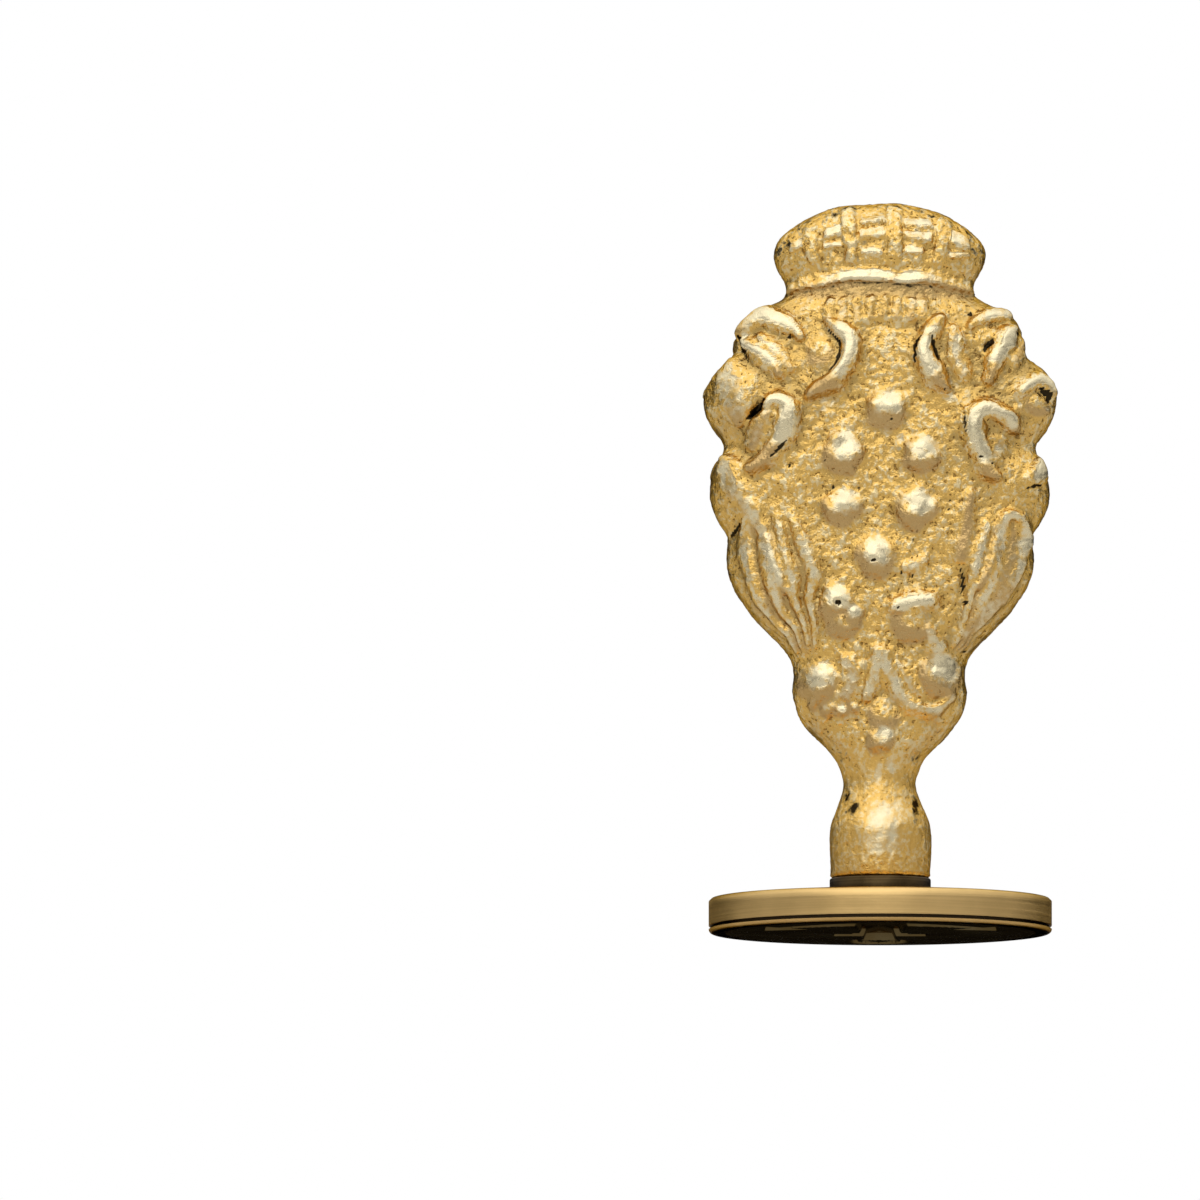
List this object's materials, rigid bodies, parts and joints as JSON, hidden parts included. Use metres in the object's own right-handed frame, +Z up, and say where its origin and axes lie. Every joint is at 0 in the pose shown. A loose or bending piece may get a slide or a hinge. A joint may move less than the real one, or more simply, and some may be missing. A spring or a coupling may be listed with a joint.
{
  "type": "wax seal stamp",
  "caption": "Brass wax seal stamp: a round die with an anchor cut into its face, screwed under a cast handle shaped as a crowned, scrolled crest.",
  "frame": {"origin": "centre of the sealing face, on the surface that the stamp stands on", "axes": "+Z up along the handle's axis, front of the crest towards -Y, +X to the right of someone facing the front"},
  "size_m": [0.0204, 0.02, 0.0427],
  "materials": {
    "die_brass": "satin turned brass, the sealing face softly polished",
    "stud_steel": "plain threaded steel",
    "collar_brass": "dark turned brass",
    "cast_brass": "grainy cast brass, bright on the ridges and brown in the hollows"
  },
  "bodies": {
    "die": {"die": "die_brass", "stud": "stud_steel"},
    "collar": {"collar": "collar_brass"},
    "handle": {"handle": "cast_brass"}
  },
  "joints": [
    {"name": "handle_turn", "type": "hinge", "parent": "die", "child": "collar", "pos_m": [0, 0, 0.0026], "axis": [0, 0, 1], "range_deg": [0, 2880]},
    {"name": "handle_rise", "type": "slide", "parent": "collar", "child": "handle", "axis": [0, 0, 1], "range_m": [0, 0.004]}
  ],
  "couplings": [
    {"joint": "handle_turn", "follows": "handle_rise", "rad_per_m": 12566}
  ]
}
